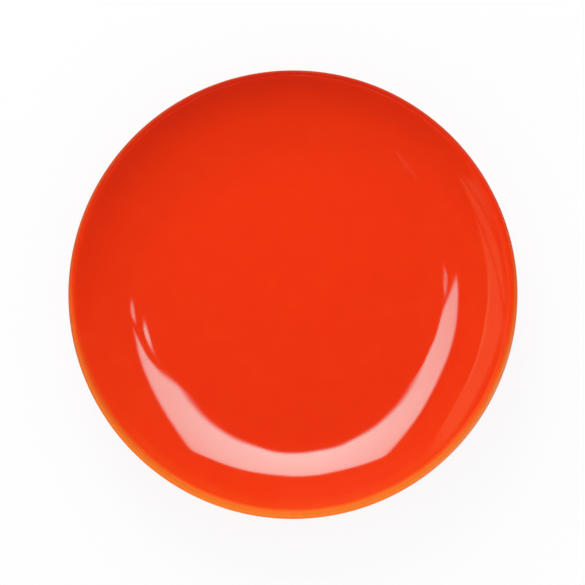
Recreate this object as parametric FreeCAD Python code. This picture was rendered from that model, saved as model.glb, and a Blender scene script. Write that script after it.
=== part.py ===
"""Coupe side plate in glazed stoneware: a shallow well, a wall that curves up to a round lip, and a foot ring.

Every piece is one closed section turned about the Z axis. The clay body's section is a single run of
straights and arcs, each tangent to the next. The glaze lies on that run as a skin of even thickness,
thinner over the tip of the lip, and is missing from the foot ring, which stays dry. That leaves two
separate coats: one over the face, lip and outside, and one in the recess inside the foot ring.

Frame: millimetres, +Z up, origin at the centre of the foot ring's standing face.
"""

import FreeCAD, Part
import math
import os

# Overall
plate_diameter = 165.0       # over the glaze, at the widest point of the lip

# Well and wall, measured on the clay
well_radius = 47.5           # where the floor of the well turns into the wall
well_dish = 0.6              # how far the well's centre lies below its edge
rim_slope = 33.0             # degrees above level, where the wall meets the lip

# Lip, measured on the clay: a tight round over its inner edge, then a full one out and under
lip_inner_round = 0.25
lip_inner_turn = 58.0        # degrees that the tight round turns before the full one takes over
lip_outer_round = 3.0
lip_run = 0.5                # straight stretch of the outside below the lip

# Foot ring, from the table up. Both of its sides have the same rounded edge and dry stretch.
foot_width = 4.6             # between its two upright sides
foot_edge_round = 1.0        # both edges of the standing face
dry_side = 0.6               # bare clay above the edge round, up to the glaze
glazed_side = 0.7            # glazed upright stretch of the outer side
foot_outer_cove = 1.4        # hollow round between the ring and the outside
foot_inset = 2.0             # level stretch between that cove and the curve of the outside

# Recess inside the foot ring
recess_side = 0.4            # glazed upright stretch of the inner side
recess_cove = 1.0            # hollow round between the ring and the recess's ceiling

# Glaze
glaze = 0.45                 # everywhere but the lip
lip_glaze = 0.3              # at the tip of the lip, where the glaze runs thin

# Names of the files, one for each piece
BODY_NODE = "clay_body"
FACE_GLAZE_NODE = "face_glaze"
RECESS_GLAZE_NODE = "recess_glaze"
FOLDER = "parts"

AXIS_FOOT = FreeCAD.Vector(0, 0, 0)
AXIS_UP = FreeCAD.Vector(0, 0, 1)


class Section:
    """Half a cross-section drawn as one tangent run of straights and arcs, with the air on its left.

    skin draws the same run moved that far to the left, into the air: left turns tighten by it and
    right turns open up by it, so the two runs stay parallel.
    """

    def __init__(self, r, z, heading, skin=0.0):
        self.heading = math.radians(heading)
        self.skin = skin
        self.edges = []
        left_r, left_z = self.left()
        self.r = r + skin * left_r
        self.z = z + skin * left_z

    def left(self):
        return -math.sin(self.heading), math.cos(self.heading)

    def point(self):
        return FreeCAD.Vector(self.r, 0, self.z)

    def straight(self, length):
        start = self.point()
        self.r += length * math.cos(self.heading)
        self.z += length * math.sin(self.heading)
        self.edges.append(Part.makeLine(start, self.point()))

    def turn(self, radius, degrees):
        """An arc of that radius on the clay. Positive degrees turn left, towards the air."""
        side = math.copysign(1.0, degrees)
        radius -= side * self.skin
        start = self.point()
        left_r, left_z = self.left()
        centre_r = self.r + side * radius * left_r
        centre_z = self.z + side * radius * left_z
        points = []
        for share in (0.5, 1.0):
            angle = self.heading + math.radians(degrees) * share
            r = centre_r + side * radius * math.sin(angle)
            z = centre_z - side * radius * math.cos(angle)
            points.append(FreeCAD.Vector(r, 0, z))
        self.edges.append(Part.Arc(start, points[0], points[1]).toShape())
        self.heading += math.radians(degrees)
        self.r = points[1].x
        self.z = points[1].z


def plate_shape():
    """The sizes that follow from the driving ones, worked out on the clay."""
    slope = math.radians(rim_slope)
    inner_turn = math.radians(lip_inner_turn)
    thinning = glaze - lip_glaze

    # The lip's two rounds turn by half a circle together, and what they span is the wall's thickness.
    wall_thickness = lip_outer_round * (1 + math.cos(inner_turn))
    wall_thickness += lip_inner_round * (1 - math.cos(inner_turn))
    inner_run = lip_run + (lip_outer_round - lip_inner_round) * math.sin(inner_turn)

    # The foot ring's heights, each stacked on the one below.
    dry_height = foot_edge_round + dry_side
    bead_height = dry_height + glaze
    foot_height = bead_height + glazed_side + foot_outer_cove
    recess_height = bead_height + recess_side + recess_cove

    # The floor is an arc through the dish, level at the axis, and ends at the well's edge.
    floor_arc = (well_radius**2 + well_dish**2) / (2 * well_dish)
    floor_end = math.asin(well_radius / floor_arc)

    # The lip reaches from the end of the wall's inside to the widest point, both on the clay.
    between_rounds = slope - inner_turn
    lip_reach = inner_run * math.cos(slope)
    lip_reach += lip_inner_round * (math.sin(slope) - math.sin(between_rounds))
    lip_reach += lip_outer_round * (1 + math.sin(between_rounds))
    clay_rim = plate_diameter / 2 - glaze + thinning * math.cos(slope)
    wall_arc = (clay_rim - lip_reach - well_radius) / (math.sin(slope) - math.sin(floor_end))

    # The outside is parallel to the wall and ends level, right under the centre of the wall's arc.
    wall_centre_r = well_radius - wall_arc * math.sin(floor_end)
    wall_centre_z = foot_height + wall_thickness + wall_arc
    well_centre_z = wall_centre_z - wall_arc * math.cos(floor_end) - well_dish
    foot_outside = wall_centre_r - foot_inset - foot_outer_cove
    return {
        "floor_arc": floor_arc,
        "floor_end": math.degrees(floor_end),
        "wall_arc": wall_arc,
        "wall_thickness": wall_thickness,
        "outside_arc": wall_arc + wall_thickness,
        "inner_run": inner_run,
        "thinning": thinning,
        "well_centre_z": well_centre_z,
        "floor_thickness": well_centre_z - recess_height,
        "dry_height": dry_height,
        "bead_height": bead_height,
        "cove_start": foot_height - foot_outer_cove,
        "recess_cove_start": recess_height - recess_cove,
        "foot_outside": foot_outside,
        "foot_inside": foot_outside - foot_width,
    }


def draw_outside(shape, skin, bottom):
    """From the axis over the well, wall and lip, then down the outside to that height on the foot ring."""
    shortened = shape["thinning"] if skin else 0.0
    section = Section(0, shape["well_centre_z"], 0, skin)
    section.turn(shape["floor_arc"], shape["floor_end"])
    section.turn(shape["wall_arc"], rim_slope - shape["floor_end"])
    section.straight(shape["inner_run"] - shortened)
    section.turn(lip_inner_round, -lip_inner_turn)
    section.turn(lip_outer_round, -(180 - lip_inner_turn))
    section.straight(lip_run - shortened)
    section.turn(shape["outside_arc"], -rim_slope)
    section.straight(foot_inset)
    section.turn(foot_outer_cove, 90)
    section.straight(shape["cove_start"] - bottom)
    return section


def draw_recess(shape, skin, bottom):
    """From that height on the foot ring's inner side, up round the cove and level to the axis."""
    section = Section(shape["foot_inside"], bottom, 90, skin)
    section.straight(shape["recess_cove_start"] - bottom)
    section.turn(recess_cove, 90)
    section.straight(section.r)
    return section


def spin(edges):
    """Closes the edges into a face and turns it once round the axis."""
    wire = Part.Wire(Part.sortEdges(edges)[0])
    turned = Part.Face(wire).revolve(AXIS_FOOT, AXIS_UP, 360)
    return turned if turned.Volume > 0 else turned.reversed()


def clay_body(shape):
    """The fired clay: the whole plate without its glaze, standing on a dry foot ring."""
    outside = draw_outside(shape, 0.0, foot_edge_round)
    outside.turn(foot_edge_round, -90)
    outside.straight(foot_width - 2 * foot_edge_round)
    outside.turn(foot_edge_round, -90)
    recess = draw_recess(shape, 0.0, foot_edge_round)
    axis = Part.makeLine(recess.point(), FreeCAD.Vector(0, 0, shape["well_centre_z"]))
    return spin(outside.edges + recess.edges + [axis])


def face_glaze(shape):
    """The coat over the well, wall, lip and outside. It ends in a small round bead above the dry foot."""
    clay = draw_outside(shape, 0.0, shape["dry_height"])
    coat = draw_outside(shape, glaze, shape["bead_height"])
    coat.turn(0.0, -90)
    well_centre = FreeCAD.Vector(0, 0, shape["well_centre_z"])
    axis = Part.makeLine(well_centre, well_centre + AXIS_UP * glaze)
    return spin(clay.edges + coat.edges + [axis])


def recess_glaze(shape):
    """The coat inside the foot ring, with the same bead at its edge."""
    clay = draw_recess(shape, 0.0, shape["dry_height"])
    coat = draw_recess(shape, glaze, shape["bead_height"])
    bead = Section(shape["foot_inside"], shape["dry_height"], 180)
    bead.turn(glaze, -90)
    axis = Part.makeLine(clay.point(), coat.point())
    return spin(clay.edges + coat.edges + bead.edges + [axis])


def main():
    os.makedirs(FOLDER, exist_ok=True)
    shape = plate_shape()
    pieces = {
        BODY_NODE: clay_body(shape),
        FACE_GLAZE_NODE: face_glaze(shape),
        RECESS_GLAZE_NODE: recess_glaze(shape),
    }
    for name, solid in pieces.items():
        solid.exportStep(os.path.join(FOLDER, name + ".step"))
        box = solid.optimalBoundingBox()
        print(f"{name}: valid {solid.isValid()}, {solid.Volume / 1000:.2f} cm3, z {box.ZMin:.2f} to {box.ZMax:.2f}")
    for name, size in shape.items():
        print(f"{name} {size:.3f}")


main()
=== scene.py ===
"""A coupe side plate in glazed stoneware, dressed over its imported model.

The clay is half a section, drawn from the axis over the well, the wall and the lip, then back under the
foot ring to the axis, and turned once round Z. Two coats of glaze lie on it: one over the face, the lip
and the outside, and one in the recess inside the foot ring. The ring itself stays bare.
Everything is in metres, with Z up and the plate standing on z = 0. The front is towards -Y.
"""

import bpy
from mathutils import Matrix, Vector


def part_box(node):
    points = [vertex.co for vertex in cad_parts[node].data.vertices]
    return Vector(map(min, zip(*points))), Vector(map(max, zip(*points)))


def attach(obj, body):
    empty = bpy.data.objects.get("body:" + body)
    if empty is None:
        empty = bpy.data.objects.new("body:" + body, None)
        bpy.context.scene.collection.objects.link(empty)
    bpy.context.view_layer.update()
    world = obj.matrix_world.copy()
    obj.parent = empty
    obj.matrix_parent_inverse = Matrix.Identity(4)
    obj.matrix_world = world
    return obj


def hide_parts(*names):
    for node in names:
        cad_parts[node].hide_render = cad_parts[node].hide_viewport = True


bl_info = {
    "name": "Glazed Coupe Plate",
    "version": (1, 0, 0),
    "blender": (4, 5, 0),
    "location": "3D View > Sidebar > Plate",
    "description": "Turns a stoneware side plate, coats it with glaze and sets it in a plain studio",
    "category": "Add Mesh",
}

import math
from types import SimpleNamespace

import bpy
import numpy as np
from bpy.props import FloatProperty, FloatVectorProperty, IntProperty, PointerProperty
from mathutils import Matrix, Vector

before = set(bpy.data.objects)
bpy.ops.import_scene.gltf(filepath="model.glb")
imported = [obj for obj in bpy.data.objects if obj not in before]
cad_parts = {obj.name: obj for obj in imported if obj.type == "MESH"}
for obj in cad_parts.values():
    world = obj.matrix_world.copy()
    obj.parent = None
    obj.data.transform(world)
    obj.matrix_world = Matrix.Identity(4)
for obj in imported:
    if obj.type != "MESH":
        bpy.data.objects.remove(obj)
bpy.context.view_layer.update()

MM = 0.001
BODY = "root"
COAT_LOW, COAT_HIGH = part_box("face_glaze")


# ------------ sizes and colours

LENGTH = {"min": 0.0, "precision": 5, "subtype": "DISTANCE", "unit": "LENGTH"}
ANGLE = {"subtype": "ANGLE", "unit": "ROTATION"}
COLOUR = {"size": 3, "min": 0.0, "max": 1.0, "subtype": "COLOR"}
SHARE = {"min": 0.0, "max": 1.0, "subtype": "FACTOR"}


def length(name, description, default):
    return FloatProperty(name=name, description=description, default=default, **LENGTH)


def angle(name, description, degrees):
    return FloatProperty(name=name, description=description, default=math.radians(degrees), **ANGLE)


def colour(name, description, default):
    return FloatVectorProperty(name=name, description=description, default=default, **COLOUR)


def share(name, description, default):
    return FloatProperty(name=name, description=description, default=default, **SHARE)


def level(name, description, default):
    return FloatProperty(name=name, description=description, default=default, min=0.0)


class PlateSizes(bpy.types.PropertyGroup):
    """The driving sizes of the plate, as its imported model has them."""

    diameter: length("Diameter", "Over the glaze, at the widest point of the lip", COAT_HIGH.x - COAT_LOW.x)
    well_radius: length("Well radius", "Where the floor of the well turns into the wall", 47.5 * MM)
    well_dish: length("Well dish", "How far the well's centre lies below its edge", 0.6 * MM)
    rim_slope: angle("Rim slope", "Slope of the wall where it meets the lip", 33.0)
    lip_inner_round: length("Lip inner round", "Radius of the clay over the lip's inner edge", 0.25 * MM)
    lip_inner_turn: angle("Lip inner turn", "How far the inner round turns", 58.0)
    lip_outer_round: length("Lip outer round", "Radius of the clay out and under the lip", 3.0 * MM)
    lip_run: length("Lip run", "Straight stretch of the outside below the lip", 0.5 * MM)
    foot_width: length("Foot width", "Between the foot ring's upright sides", 4.6 * MM)
    foot_edge_round: length("Foot edge round", "Both edges of the standing face", 1.0 * MM)
    dry_side: length("Dry side", "Bare clay above the edge round, up to the glaze", 0.6 * MM)
    glazed_side: length("Glazed side", "Glazed upright stretch of the ring's outer side", 0.7 * MM)
    foot_outer_cove: length("Outer cove", "Hollow round between the ring and the outside", 1.4 * MM)
    foot_inset: length("Foot inset", "Level stretch between that cove and the outside's curve", 2.0 * MM)
    recess_side: length("Recess side", "Glazed upright stretch of the ring's inner side", 0.4 * MM)
    recess_cove: length("Recess cove", "Hollow round between the ring and the recess's ceiling", 1.0 * MM)
    glaze: length("Glaze", "Thickness of the glaze everywhere but the lip", 0.45 * MM)
    lip_glaze: length("Lip glaze", "Thickness of the glaze at the tip of the lip", 0.3 * MM)
    sectors: IntProperty(name="Sectors", description="Facets round the plate", default=384, min=24)


class GlazeLook(bpy.types.PropertyGroup):
    """How the glaze runs and what colour each depth of it has."""

    thin_colour: colour("Thin glaze", "Where the glaze breaks over the lip", (0.96, 0.205, 0.022))
    breaking_colour: colour("Breaking glaze", "Halfway between thin and full", (0.95, 0.095, 0.011))
    full_colour: colour("Full glaze", "Over most of the plate", (0.868, 0.0345, 0.0048))
    # Deep glaze: used where glaze pools thick in the coves, and as painted shade on the back of the wall and
    # lip.
    pooled_and_shaded_colour: colour("Deep glaze", "Where the glaze drained to and lies thick", (0.60, 0.0185, 0.0048))
    # Darkest glaze: painted shade on the back of the lip.
    back_shade_colour: colour("Darkest glaze", "Thickest, on the back of the lip", (0.41, 0.0125, 0.0040))
    # Painted shade: the darker colour blended over the left, the left of the front and the outer edge of the
    # lip.
    lip_shade_colour: colour("Toasted glaze", "On the left of the lip and its edge", (0.55, 0.085, 0.012))
    gloss: share("Gloss roughness", "Roughness of the glassy top of the glaze", 0.045)
    lip_gloss: share("Lip gloss", "How much glassy top is left over the lip, where the glaze fired dry", 0.08)
    dry_roughness: share("Dry roughness", "Roughness of the glaze under its glassy top", 0.6)
    ripple: length("Ripple", "Height of the slow waves in the glaze", 0.03 * MM)
    peel: length("Peel", "Height of the fine orange peel in the glaze", 0.0012 * MM)


class ClayLook(bpy.types.PropertyGroup):
    """The bare clay of the foot ring."""

    clay_colour: colour("Clay", "Fired stoneware", (0.62, 0.50, 0.355))
    blush_colour: colour("Blush", "Toasted line beside the glaze", (0.46, 0.235, 0.11))
    speck_colour: colour("Specks", "Iron specks in the clay", (0.16, 0.09, 0.05))
    worn_colour: colour("Worn face", "Where the ring has stood and slid", (0.50, 0.44, 0.36))
    turning_pitch: length("Turning pitch", "Between the fine grooves left by turning", 0.42 * MM)


class StudioLook(bpy.types.PropertyGroup):
    """Floor, lamps and camera."""

    floor_colour: colour("Floor", "Plain pale floor", (0.9, 0.9, 0.9))
    elevation: angle("Camera elevation", "Above the horizon, from the front", 87.0)
    distance: length("Camera distance", "From the lip's plane to the camera", 1193.5 * MM)
    lens: FloatProperty(name="Lens", description="Focal length", default=200.0, subtype="DISTANCE_CAMERA")
    sky: level("Sky level", "Even light from all round", 0.715)
    key: level("Key level", "Light of the key lamp on a surface that faces it", 0.592)
    fill: level("Fill level", "Light of the front fill on a surface that faces it", 0.374)
    softbox: level("Softbox brightness", "Brightness of the softbox as the glaze mirrors it", 11.8)
    side_panel: level("Side panel brightness", "Brightness of the pale panel at the left", 0.7)


SETTINGS = {
    "plate_sizes": PlateSizes,
    "plate_glaze": GlazeLook,
    "plate_clay": ClayLook,
    "plate_studio": StudioLook,
}


# ------------ the section

TRACE_STEP = 0.01 * MM          # along the run, while it is traced
WELL_BLEND = 7.0 * MM           # over which the floor's curve passes into the wall's
EDGE_BLEND = 0.35 * MM          # the same for every other change of curve
TURN_PER_STATION = 0.075        # most radians that the section turns between two stations
STATION_SPACING = (0.06 * MM, 1.5 * MM)
SPACING_GROWTH = 0.25           # how fast that spacing grows away from the glaze's ends
COAT_INSIDE_STRIDE = 3          # the coats' clay side takes every third station
BLUSH_REACH = 0.45 * MM         # from the glaze's ends over the bare ring
WORN_HEIGHT = 0.35 * MM         # of the wear, up from the standing face


def smooth_step(x):
    """3x^2 - 2x^3 of x clipped to 0..1: rises from 0 to 1 with level ends."""
    x = np.clip(x, 0.0, 1.0)
    return x * x * (3.0 - 2.0 * x)


def rise(x, start, width):
    """0 up to start and 1 from start + width on, smooth between."""
    return smooth_step((x - start) / width)


def hump(x, middle, width):
    """A bell curve: 1 in the middle and 1/e one width away from it."""
    return np.exp(-(((x - middle) / width) ** 2))


def clay_moves(size):
    """The clay's half section as named moves (length, turn): each runs that far and turns evenly that much.

    An arc's length is its radius times its turn. A left turn, towards the air, is positive.
    """
    slope = size.rim_slope
    inner_turn = size.lip_inner_turn
    outer_turn = math.pi - inner_turn
    quarter = math.pi / 2
    thinning = size.glaze - size.lip_glaze

    # The lip's two rounds turn by half a circle together, and what they span is the wall's thickness.
    thickness = size.lip_outer_round * (1 + math.cos(inner_turn))
    thickness += size.lip_inner_round * (1 - math.cos(inner_turn))
    inner_run = size.lip_run + (size.lip_outer_round - size.lip_inner_round) * math.sin(inner_turn)

    # The floor is an arc through the dish, and the wall's arc takes what is left between it and the lip.
    floor_arc = (size.well_radius**2 + size.well_dish**2) / (2 * size.well_dish)
    floor_end = math.asin(size.well_radius / floor_arc)
    between = math.sin(slope - inner_turn)
    lip_reach = inner_run * math.cos(slope)
    lip_reach += size.lip_inner_round * (math.sin(slope) - between) + size.lip_outer_round * (1 + between)
    rim = size.diameter / 2 - size.glaze + thinning * math.cos(slope)
    wall_arc = (rim - lip_reach - size.well_radius) / (math.sin(slope) - math.sin(floor_end))

    # The foot ring's heights, each stacked on the one below.
    dry_height = size.foot_edge_round + size.dry_side
    cove_start = dry_height + size.glaze + size.glazed_side
    recess_cove_start = dry_height + size.glaze + size.recess_side
    foot_outside = size.well_radius - wall_arc * math.sin(floor_end) - size.foot_inset - size.foot_outer_cove
    foot_inside = foot_outside - size.foot_width
    well_centre = cove_start + size.foot_outer_cove + thickness
    well_centre += wall_arc * (1 - math.cos(floor_end)) - size.well_dish

    moves = {
        "floor": (floor_arc * floor_end, floor_end),
        "wall": (wall_arc * (slope - floor_end), slope - floor_end),
        "inner_run": (inner_run, 0.0),
        "inner_round": (size.lip_inner_round * inner_turn, -inner_turn),
        "outer_round": (size.lip_outer_round * outer_turn, -outer_turn),
        "outer_run": (size.lip_run, 0.0),
        "outside": ((wall_arc + thickness) * slope, -slope),
        "inset": (size.foot_inset, 0.0),
        "outer_cove": (size.foot_outer_cove * quarter, quarter),
        "outer_side": (cove_start - size.foot_edge_round, 0.0),
        "outer_edge": (size.foot_edge_round * quarter, -quarter),
        "standing_face": (size.foot_width - 2 * size.foot_edge_round, 0.0),
        "inner_edge": (size.foot_edge_round * quarter, -quarter),
        "inner_side": (recess_cove_start - size.foot_edge_round, 0.0),
        "recess_cove": (size.recess_cove * quarter, quarter),
        "ceiling": (foot_inside - size.recess_cove, 0.0),
    }
    return SimpleNamespace(
        moves=moves,
        rim=rim,
        well_centre=well_centre,
        dry_height=dry_height,
        thinning=thinning,
    )


def blended(heading, width):
    """The running mean of the heading over that width, which makes a sudden change of curve gradual."""
    half = int(round(width / TRACE_STEP / 2))
    padded = np.pad(heading, half, mode="reflect", reflect_type="odd")
    kernel = np.full(2 * half + 1, 1.0 / (2 * half + 1))
    return np.convolve(padded, kernel, mode="valid")


def clay_run(size):
    """The clay's half section, traced: distance s along it, radius r, height z, heading, marks and sectors.

    The heading is a straight-line function of s between the moves' ends. Its cosine and sine, added up
    in small steps, give r and z. Each is then stretched by a hair so that the blending costs no size.
    """
    clay = clay_moves(size)
    lengths, turns = np.array(list(clay.moves.values())).T
    ends = np.concatenate(([0.0], np.cumsum(lengths)))
    starts = dict(zip(clay.moves, ends))
    middles = dict(zip(clay.moves, (ends[1:] + ends[:-1]) / 2))
    s = np.linspace(0.0, ends[-1], int(ends[-1] / TRACE_STEP))
    heading = np.interp(s, ends, np.concatenate(([0.0], np.cumsum(turns))))
    heading = np.where(s < middles["wall"], blended(heading, WELL_BLEND), blended(heading, EDGE_BLEND))
    mean_heading = (heading[1:] + heading[:-1]) / 2
    step = s[1] - s[0]
    r = np.concatenate(([0.0], np.cumsum(np.cos(mean_heading) * step)))
    z = np.concatenate(([0.0], np.cumsum(np.sin(mean_heading) * step)))
    r *= clay.rim / r.max()
    z = (z - z.min()) * clay.well_centre / (z[0] - z.min())

    # Marks along the run.
    on_outer_side = (s > starts["outer_side"]) & (s < starts["outer_edge"])
    on_inner_side = (s > starts["inner_side"]) & (s < starts["recess_cove"])
    clay.face_end = np.interp(-clay.dry_height, -z[on_outer_side], s[on_outer_side])
    clay.recess_end = np.interp(clay.dry_height, z[on_inner_side], s[on_inner_side])
    clay.crest = s[np.argmax(z)]
    clay.widest = s[np.argmax(r)]
    clay.lip_end = starts["outside"]
    clay.outer_cove = middles["outer_cove"]
    clay.recess_cove = middles["recess_cove"]
    clay.s, clay.r, clay.z, clay.heading = s, r, z, heading
    clay.size = size
    clay.around = np.arange(size.sectors) * 2 * math.pi / size.sectors
    return clay


def stations(clay, start, stop):
    """Distances along the run between two marks, closer where it turns and beside the glaze's ends.

    They are even steps of the running sum of 1 / spacing.
    """
    turn_rate = np.abs(np.gradient(clay.heading, clay.s))
    slowest_turn = 1e-6
    spacing = TURN_PER_STATION / np.maximum(turn_rate, slowest_turn)
    for mark in (clay.face_end, clay.recess_end):
        spacing = np.minimum(spacing, STATION_SPACING[0] + SPACING_GROWTH * np.abs(clay.s - mark))
    weight = 1.0 / np.clip(spacing, *STATION_SPACING)
    inside = (clay.s >= start) & (clay.s <= stop)
    measure = np.cumsum(weight[inside])
    count = int((measure[-1] - measure[0]) * TRACE_STEP) + 2
    at = np.interp(np.linspace(measure[0], measure[-1], count), measure, clay.s[inside])
    at[0] = start
    at[-1] = stop
    return at


def at_run(clay, at):
    """r, z, and the outward normal's two parts, at those distances along the clay."""
    r = np.interp(at, clay.s, clay.r)
    z = np.interp(at, clay.s, clay.z)
    heading = np.interp(at, clay.s, clay.heading)
    return r, z, -np.sin(heading), np.cos(heading)


def glaze_thickness(clay, at):
    """Even, less a cosine of the angle from the lip's tip, and a quarter round where the glaze ends."""
    glaze = clay.size.glaze
    lean = -np.interp(at, clay.s, clay.heading)
    tip = math.pi / 2 - clay.size.rim_slope
    on_lip = at < clay.lip_end
    thickness = glaze - clay.thinning * np.where(on_lip, np.maximum(0.0, np.cos(lean - tip)), 0.0)
    to_end = np.minimum(np.abs(at - clay.face_end), np.abs(at - clay.recess_end))
    to_end = np.minimum(to_end, glaze)
    bead = np.sqrt(np.maximum(0.0, 2 * glaze * to_end - to_end**2))
    return np.where(to_end < glaze, bead, thickness)


# ------------ meshes

def turned_mesh(name, top, rings_r, rings_z, bottom, around, attributes):
    """A closed surface: points (r cos a, r sin a, z) on rings and sectors, with a pole at each end.

    rings_r, rings_z and each attribute have a row for each ring, and a column for each sector or one for
    all. An attribute's poles take the mean of the ring beside them.
    """
    rings, sectors = len(rings_r), len(around)
    heights = np.broadcast_to(rings_z, (rings, sectors))
    grid = np.stack([rings_r * np.cos(around), rings_r * np.sin(around), heights], axis=-1)
    points = np.concatenate([[[0.0, 0.0, top]], grid.reshape(-1, 3), [[0.0, 0.0, bottom]]])
    index = 1 + np.arange(rings * sectors).reshape(rings, sectors)
    beside = np.roll(index, -1, axis=1)
    quads = np.stack([index[:-1], index[1:], beside[1:], beside[:-1]], axis=-1).reshape(-1, 4)
    last = len(points) - 1
    first_fan = np.stack([np.zeros(sectors, int), index[0], beside[0]], axis=-1)
    last_fan = np.stack([index[-1], np.full(sectors, last), beside[-1]], axis=-1)

    mesh = bpy.data.meshes.new(name)
    corners = np.concatenate([first_fan.ravel(), quads.ravel(), last_fan.ravel()])
    counts = np.concatenate([np.full(sectors, 3), np.full(len(quads), 4), np.full(sectors, 3)])
    mesh.vertices.add(len(points))
    mesh.vertices.foreach_set("co", points.astype(np.float32).ravel())
    mesh.loops.add(len(corners))
    mesh.loops.foreach_set("vertex_index", corners.astype(np.int32))
    mesh.polygons.add(len(counts))
    mesh.polygons.foreach_set("loop_start", (np.cumsum(counts) - counts).astype(np.int32))
    mesh.polygons.foreach_set("use_smooth", np.ones(len(counts), bool))
    for key, values in attributes.items():
        layer = mesh.attributes.new(key, "FLOAT", "POINT")
        values = np.broadcast_to(values, (rings, sectors))
        values = np.concatenate([[values[0].mean()], values.ravel(), [values[-1].mean()]])
        layer.data.foreach_set("value", values.astype(np.float32))
    mesh.update(calc_edges=True)
    mesh.validate()
    return mesh


def new_object(name, data):
    """An object with that data, in the scene."""
    item = bpy.data.objects.new(name, data)
    bpy.context.scene.collection.objects.link(item)
    return item


def add_piece(mesh, material, node):
    """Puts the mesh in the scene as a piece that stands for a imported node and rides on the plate's body."""
    piece = new_object(mesh.name, mesh)
    mesh.materials.append(material)
    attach(piece, BODY)
    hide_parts(node)


# ------------ material parts

def feed(tree, node, inputs):
    """Links each input that is a socket, and sets any other."""
    for key, value in inputs.items():
        if isinstance(value, bpy.types.NodeSocket):
            tree.links.new(value, node.inputs[key])
        else:
            node.inputs[key].default_value = value


def add(tree, kind, inputs=None, **settings):
    """A node with those settings and inputs."""
    node = tree.nodes.new(kind)
    for key, value in settings.items():
        setattr(node, key, value)
    feed(tree, node, inputs or {})
    return node


def maths(tree, operation, result, *others):
    """That operation on the first value and each of the others in turn."""
    for other in others or (0.0,):
        result = add(tree, "ShaderNodeMath", {0: result, 1: other}, operation=operation).outputs[0]
    return result


def slanted(tree, value, slope, start):
    """The straight line start + slope times the value."""
    return maths(tree, "ADD", maths(tree, "MULTIPLY", value, slope), start)


def vectors(tree, operation, first, second=(0.0, 0.0, 0.0)):
    """That operation on two vectors, as a vector or, for a length or a dot product, as a value."""
    node = add(tree, "ShaderNodeVectorMath", {0: first, 1: second}, operation=operation)
    return node.outputs["Value" if operation in ("LENGTH", "DOT_PRODUCT") else "Vector"]


def spread(tree, value, low, high, to_low=0.0, to_high=1.0, kind="SMOOTHSTEP"):
    """The value's range low..high carried to to_low..to_high."""
    inputs = {"Value": value, "From Min": low, "From Max": high, "To Min": to_low, "To Max": to_high}
    return add(tree, "ShaderNodeMapRange", inputs, interpolation_type=kind).outputs["Result"]


def mixed(tree, part, first, second):
    """The first value passing into the second as the part goes from 0 to 1."""
    return add(tree, "ShaderNodeMix", {0: part, 2: first, 3: second}).outputs[0]


def blend(tree, part, first, second):
    """The first colour passing into the second as the part goes from 0 to 1."""
    return add(tree, "ShaderNodeMix", {0: part, 6: first, 7: second}, data_type="RGBA").outputs[2]


def noise_of(tree, place, size, detail):
    """Noise of that size, 0 to 1."""
    noise = add(tree, "ShaderNodeTexNoise", {"Vector": place, "Scale": 1 / size, "Detail": detail})
    return noise.outputs["Fac"]


def new_group(name, inputs, output):
    """A shader group with a vector input, float inputs with those defaults and a float output."""
    group = bpy.data.node_groups.new(name, "ShaderNodeTree")
    group.interface.new_socket("Vector", in_out="INPUT", socket_type="NodeSocketVector")
    for key, value in inputs.items():
        group.interface.new_socket(key, in_out="INPUT", socket_type="NodeSocketFloat").default_value = value
    group.interface.new_socket(output, in_out="OUTPUT", socket_type="NodeSocketFloat")
    return group, add(group, "NodeGroupInput").outputs, add(group, "NodeGroupOutput")


def kiln_mottle():
    """Soft cloudy shade of a given size, 0 to 1: how glaze and clay vary from place to place."""
    name = "Kiln Mottle"
    if name in bpy.data.node_groups:
        return bpy.data.node_groups[name]
    group, given, out = new_group(name, {"Size": 5.0 * MM, "Contrast": 1.0}, "Shade")
    scale = maths(group, "DIVIDE", 1.0, given["Size"])
    noise = add(group, "ShaderNodeTexNoise", {"Vector": given["Vector"], "Scale": scale, "Detail": 2.0})
    centred = maths(group, "SUBTRACT", noise.outputs["Fac"], 0.5)
    shade = slanted(group, centred, given["Contrast"], 0.5)
    group.links.new(shade, out.inputs["Shade"])
    return group


def turning_marks():
    """Fine rings round the Z axis, 0 to 1, that waver a little: what the turning tool leaves."""
    group, given, out = new_group("Turning Marks", {"Pitch": 0.5 * MM, "Waver": 0.3}, "Ridge")
    waver_size = 6.25 * MM
    radius = vectors(group, "LENGTH", vectors(group, "MULTIPLY", given["Vector"], (1.0, 1.0, 0.0)))
    turns = maths(group, "DIVIDE", radius, given["Pitch"])
    shift = maths(group, "MULTIPLY", noise_of(group, given["Vector"], waver_size, 1.0), given["Waver"])
    wave = maths(group, "SINE", maths(group, "MULTIPLY", maths(group, "ADD", turns, shift), 2 * math.pi))
    group.links.new(slanted(group, wave, 0.5, 0.5), out.inputs["Ridge"])
    return group


def use_group(tree, group, inputs):
    return add(tree, "ShaderNodeGroup", inputs, node_tree=group).outputs[0]


def new_material(name):
    """A material with its Principled shader and the object's coordinates."""
    material = bpy.data.materials.new(name)
    material.use_nodes = True
    tree = material.node_tree
    shader = tree.nodes["Principled BSDF"]
    place = add(tree, "ShaderNodeTexCoord").outputs["Object"]
    return material, tree, shader, place


def emptied(owner):
    """The shader tree of a material, a world or a lamp, without its nodes."""
    owner.use_nodes = True
    owner.node_tree.nodes.clear()
    return owner.node_tree


def with_alpha(rgb):
    return (*rgb, 1.0)


def stored(tree, name):
    """An attribute of the mesh."""
    return add(tree, "ShaderNodeAttribute", attribute_name=name).outputs["Fac"]


def roughen(tree, shader, height, distance, *normals):
    """Bumps those normals of the shader by the height, where 1 stands that far out."""
    bump = add(tree, "ShaderNodeBump", {"Distance": distance, "Height": height})
    feed(tree, shader, dict.fromkeys(normals, bump.outputs["Normal"]))


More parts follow.
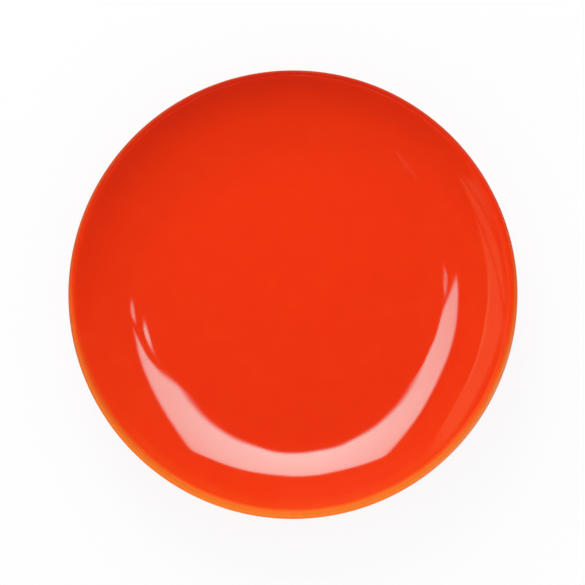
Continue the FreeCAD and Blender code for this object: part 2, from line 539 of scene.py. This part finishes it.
def orange_glaze(look):
    """Glossy orange-red glaze. Its colour follows the depth stored on the coat, from thin to deep."""
    name = "Orange Glaze"
    if name in bpy.data.materials:
        return bpy.data.materials[name]
    cloud_size, cloud_depth = 9.0 * MM, 0.12
    peel_size = 2.6 * MM
    deepest = 3.0
    colours = {0.5: look.breaking_colour, 1.0: look.full_colour, 2.0: look.pooled_and_shaded_colour}

    material, tree, shader, place = new_material(name)
    # The stored depth also carries painted shade, painted light and a painted highlight.
    depth = stored(tree, "glaze_depth")
    cloud = use_group(tree, kiln_mottle(), {"Vector": place, "Size": cloud_size, "Contrast": cloud_depth})
    drift = maths(tree, "SUBTRACT", maths(tree, "ADD", depth, cloud), 0.5)
    ramp = add(tree, "ShaderNodeValToRGB", {"Fac": maths(tree, "DIVIDE", drift, deepest)})
    stops = ramp.color_ramp.elements
    # The darkest stop is painted shade on the back of the lip; the deep stop serves pooled glaze and painted
    # shade.
    stops[0].color = with_alpha(look.thin_colour)
    stops[1].color = with_alpha(look.back_shade_colour)
    for depth_there, colour_there in colours.items():
        stops.new(depth_there / deepest).color = with_alpha(colour_there)
    # Painted shade on the lip, blended in from the stored lip shade share.
    darkened = blend(tree, stored(tree, "toast"), ramp.outputs["Color"], with_alpha(look.lip_shade_colour))
    glassy = {
        "Base Color": darkened,
        "Specular IOR Level": 0.0,
        "Roughness": look.dry_roughness,
        "Coat Roughness": look.gloss,
        "Coat Weight": spread(tree, stored(tree, "dry"), 0.0, 1.0, 1.0, look.lip_gloss),
    }
    feed(tree, shader, glassy)
    roughen(tree, shader, noise_of(tree, place, peel_size, 1.0), look.peel, "Normal", "Coat Normal")
    return material


def bare_clay(look):
    """Matt buff stoneware: turning grooves, iron specks, a toasted line beside the glaze and a worn face."""
    name = "Bare Stoneware"
    if name in bpy.data.materials:
        return bpy.data.materials[name]
    cloud_size = 3.0 * MM
    grit_size = 0.28 * MM
    speck_spacing = 1.3 * MM
    speck_border = (0.16, 0.10)         # from none to full, in shares of that spacing
    speck_strength = 0.7
    least_toast = 0.35
    roughness_range = (0.72, 0.95)
    groove_share = 0.6                  # of the relief, beside the grit's
    relief_height = 0.03 * MM

    material, tree, shader, place = new_material(name)
    cloud = use_group(tree, kiln_mottle(), {"Vector": place, "Size": cloud_size, "Contrast": 1.2})
    marks = use_group(tree, turning_marks(), {"Vector": place, "Pitch": look.turning_pitch, "Waver": 0.5})
    grit = noise_of(tree, place, grit_size, 3.0)
    cells = add(tree, "ShaderNodeTexVoronoi", {"Vector": place, "Scale": 1 / speck_spacing})
    speck = spread(tree, cells.outputs["Distance"], *speck_border)

    worn = maths(tree, "MULTIPLY", stored(tree, "wear"), cloud)
    worn = blend(tree, worn, with_alpha(look.clay_colour), with_alpha(look.worn_colour))
    darkened = maths(tree, "MULTIPLY", stored(tree, "blush"), maths(tree, "ADD", cloud, least_toast))
    darkened = blend(tree, darkened, worn, with_alpha(look.blush_colour))
    speck = maths(tree, "MULTIPLY", speck, speck_strength)
    specked = blend(tree, speck, darkened, with_alpha(look.speck_colour))
    roughness = spread(tree, grit, 0.3, 0.7, *roughness_range)
    feed(tree, shader, {"Base Color": specked, "Roughness": roughness})
    roughen(tree, shader, slanted(tree, marks, groove_share, grit), relief_height, "Normal")
    return material


# ------------ how the glaze lies

# Ripples: millimetres from crest to crest, how many of each, and how far one swings as it runs.
WAVELENGTHS = (46.0, 31.0, 22.0, 16.0, 11.5)
WAVES_OF_EACH = 3
WAVE_SWING = 0.4
LOBES_AT = 60.0                 # millimetres from the axis, where a wave's lobes are counted
FACE_SEED = 7
RECESS_SEED = 11

# They die out over these lengths at the well's centre, a bead and the recess's centre, and lose a share
# within that distance of the lip's crest.
CALM_WELL = 20.0 * MM
CALM_BEAD = 3.0 * MM
CALM_RECESS = 12.0 * MM
CALM_CREST = (0.8, 3.0 * MM)

# Lobes, each a direction in degrees round from +X, a height and a sharpness: painted shade, as extra
# depth towards the back, a little to the left, and the gloss that was left on the outer lip.
WALL_BACK_SHADE = (102.0, 0.66, 1.2)
LIP_BACK_SHADE = (102.0, 1.2, 2.04)
GLASSY_SPOTS = ((327.0, 1.0, 12), (183.0, 0.25, 6), (30.0, 0.3, 10))

# Other changes of depth, in shares of the full depth: pooling in a cove, and painted light and shade.
POOL_GAIN = 0.8                 # in a cove
EDGE_SHADE_GAIN = 0.3                 # on the lip's outer edge, as painted shade
PAINTED_HIGHLIGHT_LOSS = 0.2                # a painted highlight: a faint ring inside the lip, in front
WALL_THINNING_AND_PAINTED_LIGHT = (0.02, 0.03)        # on the wall, and added in front, where it is painted light

# How far in from the outline the glaze breaks: everywhere, more in front, more at the sides.
BREAK_REACH = (0.48 * MM, 2.75 * MM, 0.7 * MM)
BREAK_WAVER = ((5, 0.36 * MM, 1.0), (13, 0.24 * MM, 0.0), (29, 0.16 * MM, 2.0))     # lobes, height, phase

# Most painted shade on the lip: on the left, left of the front, and on the outer edge behind and in front.
LEFT_SHADE, FRONT_SHADE, EDGE_SHADE = 0.85, 0.38, (0.45, 0.20)
LEFT_OVER = 0.25                # of the painted shade in front, outside the lip's crest

# Borders, each a start and a width: along the clay past the lip's crest,
LIP_START = (-0.3 * MM, 0.6 * MM)
LIP_FADE = (0.0, 20.0 * MM)
DRY_START = (-0.75 * MM, 0.5 * MM)
LEFT_SHADE_START = (0.2 * MM, 1.4 * MM)
FRONT_SHADE_START = (-1.5 * MM, 0.7 * MM)
FRONT_SHADE_FADE = (0.2 * MM, 1.2 * MM)
# along it past the widest point,
OUTER_EDGE = (-2.6 * MM, 1.2 * MM)
GLASSY_EDGE = (-3.3 * MM, 0.8 * MM)
DRY_FADE = (-0.6 * MM, 1.6 * MM)
BREAK_FADE = (-1.5 * MM, 4.5 * MM)
# over the radius,
BREAK_START = (-1.35 * MM, 2.7 * MM)
WALL_START = (62.0 * MM, 5.0 * MM)
WALL_END = (77.1 * MM, 0.8 * MM)
BACK_SHADE_START = (63.3 * MM, 14.8 * MM)
# and from the back, -1, to the front, 1.
FRONT_HALF = (-0.2, 0.6)
FRONT_THIRD = (0.45, 0.3)
FOREMOST = (0.75, 0.15)

# Bells, each a middle and a width: over the radius, along the clay, round the lip.
PAINTED_HIGHLIGHT_RING = (76.9 * MM, 0.65 * MM)
POOL_WIDTH = 2.0 * MM
RECESS_POOL_WIDTH = 1.6 * MM
SHADED_LEFT = (math.radians(165.0), math.radians(38.0))
SHADED_FRONT = (math.radians(211.0), math.radians(31.0))


def slow_waves(at, around, seed):
    """A sum of cosines that travel round and along the plate, the longer ones higher, none at the axis."""
    draw = np.random.default_rng(seed)
    waves = np.zeros((len(at), len(around)))
    calm = np.minimum(1.0, at / CALM_WELL)[:, None] ** 2
    for wavelength in WAVELENGTHS:
        for _ in range(WAVES_OF_EACH):
            lobes = int(round(draw.uniform(0.3, 1.0) * 2 * math.pi * LOBES_AT / wavelength))
            phase, twist, start = draw.uniform(0, 2 * math.pi, 3)
            along = 2 * math.pi * at / (wavelength * MM)
            swing = WAVE_SWING * np.sin(along + twist)[:, None]
            wave = np.cos(lobes * around[None, :] + phase + swing) * np.cos(along + start)[:, None]
            waves += wave * wavelength / WAVELENGTHS[0] * calm
    return waves / WAVES_OF_EACH


def coat_skin(clay, at, ripple, seed):
    """r and z at those stations, on the clay and on the glaze over it with ripples of that height."""
    r, z, normal_r, normal_z = (part[:, None] for part in at_run(clay, at))
    thick = slow_waves(at, clay.around, seed) * ripple[:, None]
    thick += glaze_thickness(clay, at)[:, None]
    rings = np.ones_like(thick)
    return r * rings, z * rings, r + normal_r * thick, z + normal_z * thick


def lobe(around, degrees, height, sharpness):
    """That height in one direction, falling to 0 at right angles to it."""
    return height * np.maximum(0.0, np.cos(around - math.radians(degrees))) ** sharpness


def places_on_face(clay, at, radius):
    """Where each point of the coat lies: front is 1 at -Y, and each past_ value is a distance."""
    past_crest = at[:, None] - clay.crest
    past_widest = at[:, None] - clay.widest
    return SimpleNamespace(
        around=clay.around[None, :],
        front=-np.sin(clay.around)[None, :],
        radius=radius,
        past_crest=past_crest,
        past_widest=past_widest,
        inward=np.where(past_widest < 0.0, clay.size.diameter / 2 - radius, 0.0),
        on_lip=rise(past_crest, *LIP_START) * (1.0 - rise(past_crest, *LIP_FADE)),
        on_edge=rise(past_widest, *OUTER_EDGE),
    )


def broken_share(here):
    """Where the glaze runs thin: over the lip, further inward in front, down to a wavering line outside."""
    everywhere, in_front, at_sides = BREAK_REACH
    reach = everywhere + in_front * here.front + at_sides * np.cos(here.around) ** 2
    waver = sum(height * np.sin(lobes * here.around + phase) for lobes, height, phase in BREAK_WAVER)
    start, width = BREAK_FADE
    return rise(reach - here.inward, *BREAK_START) * (1.0 - rise(here.past_widest, start + waver, width))


def face_depth_and_painted_light(here, pooled):
    """The glaze's depth, 1 over most of the plate and 0 where it breaks over the lip.

    It holds painted shade: the wall's upper half and the lip are deeper towards the back, and the lip's
    outer edge is deeper. The wall is a little thinner than the well; the extra thinning in front is
    painted light, and a faint thinner ring just inside the front lip is a painted highlight.
    """
    start, width = BACK_SHADE_START
    up_wall = np.clip((here.radius - start) / width, 0.0, 1.0) ** 1.5
    # Painted shade: extra depth, so darker glaze, towards the back on the upper wall and the lip, and on the
    # lip's outer edge.
    depth = 1.0 + pooled + lobe(here.around, *WALL_BACK_SHADE) * up_wall
    depth = depth + (lobe(here.around, *LIP_BACK_SHADE) + EDGE_SHADE_GAIN * here.on_edge) * here.on_lip

    # Painted highlight: a faint thinner, lighter ring just inside the front lip.
    faint = PAINTED_HIGHLIGHT_LOSS * hump(here.radius, *PAINTED_HIGHLIGHT_RING) * rise(here.front, *FRONT_THIRD)
    faint = np.where(here.past_crest < 0.0, faint, 0.0)
    # The wall's thinning in front is painted light; the even share is thinner glaze on the slope.
    everywhere, in_front = WALL_THINNING_AND_PAINTED_LIGHT
    wall = rise(here.radius, *WALL_START) * (everywhere + in_front * np.maximum(here.front, 0.0))
    wall = wall * (1.0 - rise(here.radius, *WALL_END) * rise(here.front, *FOREMOST))
    return (depth - faint - wall) * (1.0 - broken_share(here))


def lip_shade_share(here):
    """Painted shade on the lip: most on the left, fainter on its outer edge and left of the front."""
    left = LEFT_SHADE * hump(here.around, *SHADED_LEFT) * rise(here.past_crest, *LEFT_SHADE_START)
    behind, in_front = EDGE_SHADE
    edge = here.on_edge * (behind + (in_front - behind) * rise(here.front, *FRONT_HALF))
    front = FRONT_SHADE * hump(here.around, *SHADED_FRONT) * rise(here.past_crest, *FRONT_SHADE_START)
    front = front * (1.0 - (1.0 - LEFT_OVER) * rise(here.past_crest, *FRONT_SHADE_FADE))
    return np.maximum(np.maximum(left, edge) * here.on_lip, front)


def dry_share(here):
    """Where the glaze fired dry: the lip, but for a few glassy spots on its outer edge."""
    dry = rise(here.past_crest, *DRY_START) * (1.0 - rise(here.past_widest, *DRY_FADE))
    glassy = sum(lobe(here.around, *spot) for spot in GLASSY_SPOTS)
    return dry * (1.0 - glassy * rise(here.past_widest, *GLASSY_EDGE))


# ------------ studio

def seen_from(zenith, azimuth):
    """The unit vector that leans by zenith from +Z towards azimuth, which is 0 at -Y and 90 degrees at +X."""
    flat = math.sin(zenith)
    return Vector((flat * math.sin(azimuth), -flat * math.cos(azimuth), math.cos(zenith)))


def add_lamp(name, towards, distance, width, height, roll=0.0):
    """A rectangular lamp that faces the plate's centre."""
    lamp = bpy.data.lights.new(name, "AREA")
    lamp.shape = "RECTANGLE"
    lamp.size = width
    lamp.size_y = height
    piece = new_object(name, lamp)
    back = towards.normalized()
    side = (Vector((1.0, 0.0, 0.0)) - back * back.x).normalized()
    up = back.cross(side)
    turned = side * math.cos(roll) + up * math.sin(roll)
    upright = back.cross(turned)
    axes = Matrix((turned, upright, back)).transposed()
    piece.matrix_world = Matrix.Translation(back * distance) @ axes.to_4x4()
    piece.visible_camera = False
    return piece


def mirrored_only(lamp, brightness, width, height):
    """Gives the lamp that brightness in reflections and no light on matt surfaces.

    Returns its node tree, and the place on it: X and Y from its centre, in the units of width and height.
    """
    lamp.data.energy = brightness * math.pi * lamp.data.size * lamp.data.size_y
    lamp.visible_diffuse = False
    tree = emptied(lamp.data)
    spot = add(tree, "ShaderNodeNewGeometry").outputs["Parametric"]
    centred = vectors(tree, "SUBTRACT", spot, (0.5, 0.5, 0.0))
    return tree, vectors(tree, "MULTIPLY", centred, (width, height, 0.0))


def beyond(tree, place, direction, edge, soft):
    """1 where the place lies further along the direction than edge, and 0 short of it, over a soft border."""
    along = vectors(tree, "DOT_PRODUCT", place, (*direction, 0.0))
    return spread(tree, along, edge - soft / 2, edge + soft / 2)


def distance_from(tree, place, centre, radii=(1.0, 1.0)):
    """How far the place lies from the centre, in shares of those two radii."""
    from_centre = vectors(tree, "SUBTRACT", place, (*centre, 0.0))
    per_radius = (1 / radii[0], 1 / radii[1], 0.0)
    return vectors(tree, "LENGTH", vectors(tree, "MULTIPLY", from_centre, per_radius))


def outside_oval(tree, place, centre, radii, soft):
    """1 outside an upright oval and 0 inside it, over a border that soft across its smaller radius."""
    border = soft / min(radii) / 2
    return spread(tree, distance_from(tree, place, centre, radii), 1 - border, 1 + border)


def inside_oval(tree, *oval):
    return maths(tree, "SUBTRACT", 1.0, outside_oval(tree, *oval))


def emit(tree, factors):
    """The lamp's brightness times all those factors."""
    light = add(tree, "ShaderNodeEmission", {"Strength": maths(tree, "MULTIPLY", *factors)})
    add(tree, "ShaderNodeOutputLight", {"Surface": light.outputs[0]})


def set_floor(look):
    """A level floor, nearly white to the camera, with a light shadow that fades beyond the plate."""
    reach = 6.0
    shadow_ends = (0.08, 0.30)
    whiteness_range = (0.88, 1.0)
    mesh = bpy.data.meshes.new("floor")
    corners = [(-reach, -reach, 0.0), (reach, -reach, 0.0), (reach, reach, 0.0), (-reach, reach, 0.0)]
    mesh.from_pydata(corners, [], [(0, 1, 2, 3)])
    floor = new_object("floor", mesh)
    material = bpy.data.materials.new("Pale Floor")
    tree = emptied(material)
    path = add(tree, "ShaderNodeLightPath").outputs
    matt = add(tree, "ShaderNodeBsdfDiffuse", {"Color": with_alpha(look.floor_colour)})
    white = add(tree, "ShaderNodeEmission")
    away = vectors(tree, "LENGTH", add(tree, "ShaderNodeTexCoord").outputs["Object"])
    whiteness = spread(tree, away, *shadow_ends, *whiteness_range)
    seen = maths(tree, "MULTIPLY", path["Is Camera Ray"], whiteness)
    mix = add(tree, "ShaderNodeMixShader", {0: seen, 1: matt.outputs[0], 2: white.outputs[0]})
    add(tree, "ShaderNodeOutputMaterial", {"Surface": mix.outputs[0]})
    mesh.materials.append(material)


def set_world(look):
    """White to the camera, an even sky for light, and a pale horizon under a dark top in reflections."""
    horizon_ends, pale, dark = (0.0, 0.22), 0.7, 0.02
    world = bpy.data.worlds.new("Studio")
    bpy.context.scene.world = world
    tree = emptied(world)
    path = add(tree, "ShaderNodeLightPath").outputs
    ray = add(tree, "ShaderNodeTexCoord").outputs["Generated"]
    up = add(tree, "ShaderNodeSeparateXYZ", {0: ray}).outputs["Z"]
    mirrored = spread(tree, up, *horizon_ends, pale, dark)
    strength = mixed(tree, path["Is Glossy Ray"], look.sky, mirrored)
    strength = mixed(tree, path["Is Camera Ray"], strength, 1.0)
    background = add(tree, "ShaderNodeBackground", {"Color": (1.0, 1.0, 1.0, 1.0), "Strength": strength})
    add(tree, "ShaderNodeOutputWorld", {"Surface": background.outputs[0]})


def set_lamps(look):
    """A soft key and a low fill, which only light the plate and show in no reflection.

    A lamp of power P and area A has brightness P / (pi A), and lights a facing surface at distance d
    by A / d^2 times that, so power pi^2 d^2 level gives a white surface the brightness level.
    """
    distance = 1.0
    lamps = (
        ("key", look.key, seen_from(math.radians(60.0), math.radians(196.0)), 0.6, 0.5),
        ("fill", look.fill, seen_from(math.radians(80.0), 0.0), 1.0, 0.4),
    )
    for name, level_there, towards_it, width, height in lamps:
        lamp = add_lamp(name, towards_it, distance, width, height)
        lamp.data.energy = level_there * (math.pi * distance) ** 2
        lamp.visible_glossy = False


def set_softbox(look):
    """A bright rectangle overhead that only shows in reflections, behind the dark camera and its arm.

    Its sides, and places on it, are in shares of its distance from the plate: u across it, w along it.
    """
    reach = 0.856
    width, height = 0.94, 1.36
    to_side, to_back, roll = math.radians(-0.5), math.radians(7.0), math.radians(-2.5)
    tint = (0.27, 1.0, 0.97)
    side_soft, end_soft, oval_soft = 0.05, 0.020, 0.02
    sides = (((0.037, -1.0), -0.612), ((-1.0, 0.025), -0.3985), ((1.0, -0.025), -0.4135))
    lens = ((-0.013, 0.095), (0.1555, 0.1555), 0.065)
    finder = ((-0.014, 0.16), (0.085, 0.104), 0.06)

    towards_it = Vector((math.tan(to_side), math.tan(to_back), 1.0))
    softbox = add_lamp("softbox", towards_it, reach, width * reach, height * reach, roll)
    softbox.data.color = tint
    tree, place = mirrored_only(softbox, look.softbox, width, height)
    u, w, _ = add(tree, "ShaderNodeSeparateXYZ", {0: place}).outputs
    factors = [beyond(tree, place, direction, edge, side_soft) for direction, edge in sides]
    factors += [outside_oval(tree, place, *oval) for oval in (lens, finder)]

    # The rectangle's two legs end on kinked slants, one on each side of the camera.
    left_end = maths(tree, "MINIMUM", slanted(tree, u, 0.405, -0.015), slanted(tree, u, -0.40, 0.205), 0.083)
    right_end = maths(tree, "MAXIMUM", slanted(tree, u, 0.85, 0.141), slanted(tree, u, 0.40, 0.039))
    end = mixed(tree, maths(tree, "GREATER_THAN", u, 0.0), right_end, left_end)
    lit = spread(tree, maths(tree, "SUBTRACT", w, end), -end_soft / 2, end_soft / 2)

    # Beyond them lie four bright slivers and, far off, a faint streak: centre, radii and brightness.
    ovals = (
        ((0.379, -0.011), (0.029, 0.022), 0.75),
        ((0.240, 0.007), (0.030, 0.023), 1.0),
        ((-0.243, -0.094), (0.017, 0.010), 0.62),
        ((-0.264, -0.111), (0.017, 0.011), 0.60),
        ((-0.355, -0.525), (0.024, 0.095), 0.045),
    )
    for centre, radii, brightness in ovals:
        inside = inside_oval(tree, place, centre, radii, oval_soft)
        lit = maths(tree, "MAXIMUM", lit, maths(tree, "MULTIPLY", inside, brightness))

    # It is brightest near its lamp and falls off to the least towards its corners.
    lamp_at, falloff, least = (-0.02, 0.32), (0.05, 0.5), 0.60
    away = distance_from(tree, place, lamp_at)
    emit(tree, [*factors, lit, spread(tree, away, *falloff, 1.0, least, "LINEAR")])


def set_panel(look):
    """A pale panel far to the left, which draws a narrow strip of reflection along the right wall.

    Places on it are in metres from its middle, across it and along it, the front end first. It has a
    bright line along it, two dark bars across it, a dimmer front end and a back end that fades out.
    """
    towards_it, distance = Vector((-0.745, -0.10, 0.465)), 0.9
    height, width = 0.50, 2.40
    tint = (1.0, 0.95, 0.45)
    level_top = ((-1.0, 0.0), -0.16, 0.02)
    raised_top = ((-1.0, -0.15), -0.193, 0.02)
    borders = (
        ((-1.0, -0.33), -0.393, 0.02),  # the cut corner
        ((1.0, 0.0), -0.055, 0.05),     # the bottom
        ((1.0, 0.35), 0.012, 0.03),     # where it is raised
        ((0.0, 1.0), -0.27, 0.06),      # the front end
    )
    dimmer_front = (-0.03, 0.09, 0.78, 1.0)
    fading_back = (0.80, 1.15, 1.0, 0.0)
    line, line_gain = ((0.148, 0.36), (0.018, 0.25), 0.016), 0.9
    across = (1.0, 0.79)
    bars, half_bar, bar_soft, in_bar = (0.118, -0.011), 0.018, 0.014, 0.25

    panel = add_lamp("side_panel", towards_it, distance, height, width)
    panel.data.color = tint
    tree, place = mirrored_only(panel, look.side_panel, height, width)
    _, along, _ = add(tree, "ShaderNodeSeparateXYZ", {0: place}).outputs
    factors = [
        maths(tree, "MAXIMUM", beyond(tree, place, *level_top), beyond(tree, place, *raised_top)),
        *(beyond(tree, place, *border) for border in borders),
        spread(tree, along, *dimmer_front, "LINEAR"),
        spread(tree, along, *fading_back, "LINEAR"),
        slanted(tree, inside_oval(tree, place, *line), line_gain, 1.0),
    ]
    for bar in bars:
        over_bar = beyond(tree, place, across, bar + half_bar, bar_soft)
        under_bar = beyond(tree, place, (-across[0], -across[1]), half_bar - bar, bar_soft)
        factors.append(maths(tree, "MAXIMUM", over_bar, under_bar, in_bar))
    emit(tree, factors)


def set_camera(look):
    """A long lens over the front, a hair off straight down, with the plate in the middle of the view."""
    target = Vector((-0.16 * MM, 0.5 * MM, 17.12 * MM))
    data = bpy.data.cameras.new("camera")
    data.lens = look.lens
    data.sensor_width = 36.0
    data.clip_start = 0.01
    data.clip_end = 100.0
    camera = new_object("camera", data)
    lean = math.pi / 2 - look.elevation
    camera.location = target + seen_from(lean, 0.0) * look.distance
    camera.rotation_euler = (lean, 0.0, 0.0)
    bpy.context.scene.camera = camera


# ------------ operators

class TurnClay(bpy.types.Operator):
    """Turn the fired clay: well, wall, lip, outside and foot ring"""

    bl_idname = "plate.turn_clay"
    bl_label = "Turn the clay"

    def execute(self, context):
        clay = clay_run(context.scene.plate_sizes)
        at = stations(clay, 0.0, clay.s[-1])[1:-1]
        r, z, _, _ = at_run(clay, at)
        past_face = np.maximum(0.0, at - clay.face_end)
        past_recess = np.maximum(0.0, clay.recess_end - at)
        near_glaze = np.exp(-np.minimum(past_face, past_recess) / BLUSH_REACH)
        standing = 1.0 - rise(z, 0.0, WORN_HEIGHT)
        mesh = turned_mesh(
            "turned_clay",
            clay.z[0],
            r[:, None],
            z[:, None],
            clay.z[-1],
            clay.around,
            {"blush": near_glaze[:, None], "wear": standing[:, None]},
        )
        add_piece(mesh, bare_clay(context.scene.plate_clay), "clay_body")
        return {"FINISHED"}


class CoatFace(bpy.types.Operator):
    """Coat the face, the lip and the outside with glaze, down to the dry foot ring"""

    bl_idname = "plate.coat_face"
    bl_label = "Coat the face"

    def execute(self, context):
        look = context.scene.plate_glaze
        clay = clay_run(context.scene.plate_sizes)
        at = stations(clay, 0.0, clay.face_end)
        crest_share, crest_width = CALM_CREST
        ripple = look.ripple * rise(clay.face_end - at, 0.0, CALM_BEAD)
        ripple = ripple * (1.0 - crest_share * hump(at, clay.crest, crest_width))
        r, z, skin_r, skin_z = coat_skin(clay, at, ripple, FACE_SEED)
        here = places_on_face(clay, at, skin_r)
        pooled = POOL_GAIN * hump(at, clay.outer_cove, POOL_WIDTH)[:, None]

        # The run goes from the axis to the bead, and the way back along the clay comes after it.
        inner = np.arange(len(at) - 1, 0, -COAT_INSIDE_STRIDE)
        hidden = np.zeros_like(r[inner])
        mesh = turned_mesh(
            "face_coat",
            skin_z[0].mean(),
            np.concatenate([skin_r[1:], r[inner]]),
            np.concatenate([skin_z[1:], z[inner]]),
            clay.z[0],
            clay.around,
            {
                # The stored depth carries painted light and shade, and the lip shade share is painted shade.
                "glaze_depth": np.concatenate([face_depth_and_painted_light(here, pooled)[1:], hidden + 1.0]),
                "dry": np.concatenate([dry_share(here)[1:], hidden]),
                "toast": np.concatenate([lip_shade_share(here)[1:], hidden]),
            },
        )
        add_piece(mesh, orange_glaze(look), "face_glaze")
        return {"FINISHED"}


class CoatRecess(bpy.types.Operator):
    """Coat the recess inside the foot ring with glaze"""

    bl_idname = "plate.coat_recess"
    bl_label = "Coat the recess"

    def execute(self, context):
        look = context.scene.plate_glaze
        clay = clay_run(context.scene.plate_sizes)
        at = stations(clay, clay.recess_end, clay.s[-1])
        ripple = look.ripple * rise(at, clay.recess_end, CALM_BEAD) * rise(clay.s[-1] - at, 0.0, CALM_RECESS)
        r, z, skin_r, skin_z = coat_skin(clay, at, ripple, RECESS_SEED)
        pooled = POOL_GAIN * hump(at, clay.recess_cove, RECESS_POOL_WIDTH)[:, None]

        # The run comes in from the bead to the axis, so the way back along the clay comes first.
        inner = np.arange(len(at) - 2, 0, -COAT_INSIDE_STRIDE)
        depth = np.concatenate([np.ones((len(inner), 1)), 1.0 + pooled[:-1]])
        mesh = turned_mesh(
            "recess_coat",
            clay.z[-1],
            np.concatenate([r[inner], skin_r[:-1]]),
            np.concatenate([z[inner], skin_z[:-1]]),
            skin_z[-1].mean(),
            clay.around,
            {"glaze_depth": depth, "dry": 0.0 * depth, "toast": 0.0 * depth},
        )
        add_piece(mesh, orange_glaze(look), "recess_glaze")
        return {"FINISHED"}


class SetStudio(bpy.types.Operator):
    """Set the plain pale floor, the lamps, the world and the camera"""

    bl_idname = "plate.set_studio"
    bl_label = "Set the studio"

    def execute(self, context):
        for set_part in (set_floor, set_world, set_lamps, set_softbox, set_panel, set_camera):
            set_part(context.scene.plate_studio)
        context.scene.view_settings.view_transform = "Standard"
        return {"FINISHED"}


class PlatePanel(bpy.types.Panel):
    """Sizes, colours and the steps that build the plate."""

    bl_idname = "VIEW3D_PT_coupe_plate"
    bl_label = "Coupe Plate"
    bl_space_type = "VIEW_3D"
    bl_region_type = "UI"
    bl_category = "Plate"

    def draw(self, context):
        layout = self.layout
        for step in STEPS:
            layout.operator(step.bl_idname)
        for key, group in SETTINGS.items():
            box = layout.box()
            settings = getattr(context.scene, key)
            for name in group.__annotations__:
                box.prop(settings, name)


STEPS = [TurnClay, CoatFace, CoatRecess, SetStudio]
CLASSES = [*SETTINGS.values(), *STEPS, PlatePanel]


def register():
    for item in CLASSES:
        bpy.utils.register_class(item)
    for key, group in SETTINGS.items():
        setattr(bpy.types.Scene, key, PointerProperty(type=group))


def unregister():
    for key in SETTINGS:
        delattr(bpy.types.Scene, key)
    for item in reversed(CLASSES):
        bpy.utils.unregister_class(item)


def main():
    register()
    bpy.ops.plate.turn_clay()
    bpy.ops.plate.coat_face()
    bpy.ops.plate.coat_recess()
    bpy.ops.plate.set_studio()


if __name__ == "__main__":
    main()
